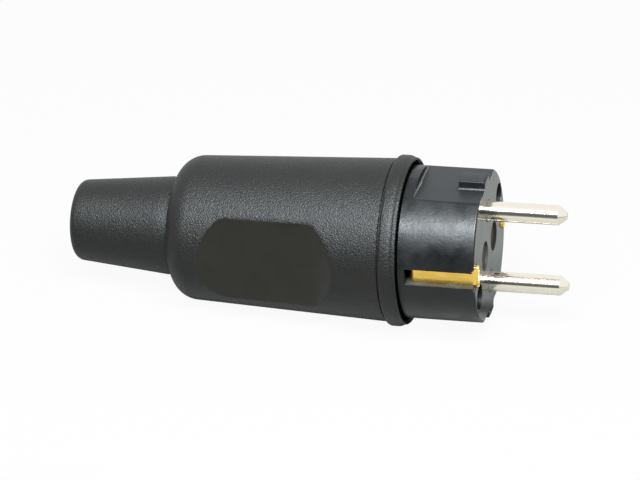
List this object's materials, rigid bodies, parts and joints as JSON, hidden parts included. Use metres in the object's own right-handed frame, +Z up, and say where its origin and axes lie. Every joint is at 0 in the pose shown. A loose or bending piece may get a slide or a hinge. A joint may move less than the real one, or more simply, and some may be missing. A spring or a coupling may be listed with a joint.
{
  "type": "rubber electric plug",
  "caption": "Earthed rubber mains plug, wired by hand: round pins and side earth strips on a moulded insert, in a tapered rubber grip with a bend-relief cone.",
  "frame": {"origin": "centre of the engagement face, midway between the two mains pins", "axes": "+X out of the face along the pins, +Z up along the line of the two pins, earth strips at -Y and +Y"},
  "size_m": [0.1223, 0.0414, 0.0414],
  "materials": {
    "rubber": "black moulded rubber with a fine grain",
    "insert_plastic": "black moulded plastic, half gloss",
    "base_plastic": "black moulded plastic, matt",
    "brass": "bright rolled brass",
    "nickel": "nickel plate over turned brass",
    "steel": "zinc-plated steel"
  },
  "bodies": {
    "root": {"rubber_housing": "rubber", "plug_insert": "insert_plastic", "terminal_base": "base_plastic", "earth_bracket": "brass", "earth_washer": "steel", "earth_screw": "steel", "clamp_strap": "base_plastic", "mains_pin_upper": "nickel", "mains_pin_lower": "nickel", "terminal_screw_upper": "steel", "terminal_screw_lower": "steel", "earth_rivet_near": "brass", "earth_rivet_far": "brass", "insert_screw_near": "steel", "insert_screw_far": "steel", "clamp_screw_near": "steel", "clamp_screw_far": "steel", "clamp_nut_near": "steel", "clamp_nut_far": "steel"}
  },
  "joints": []
}
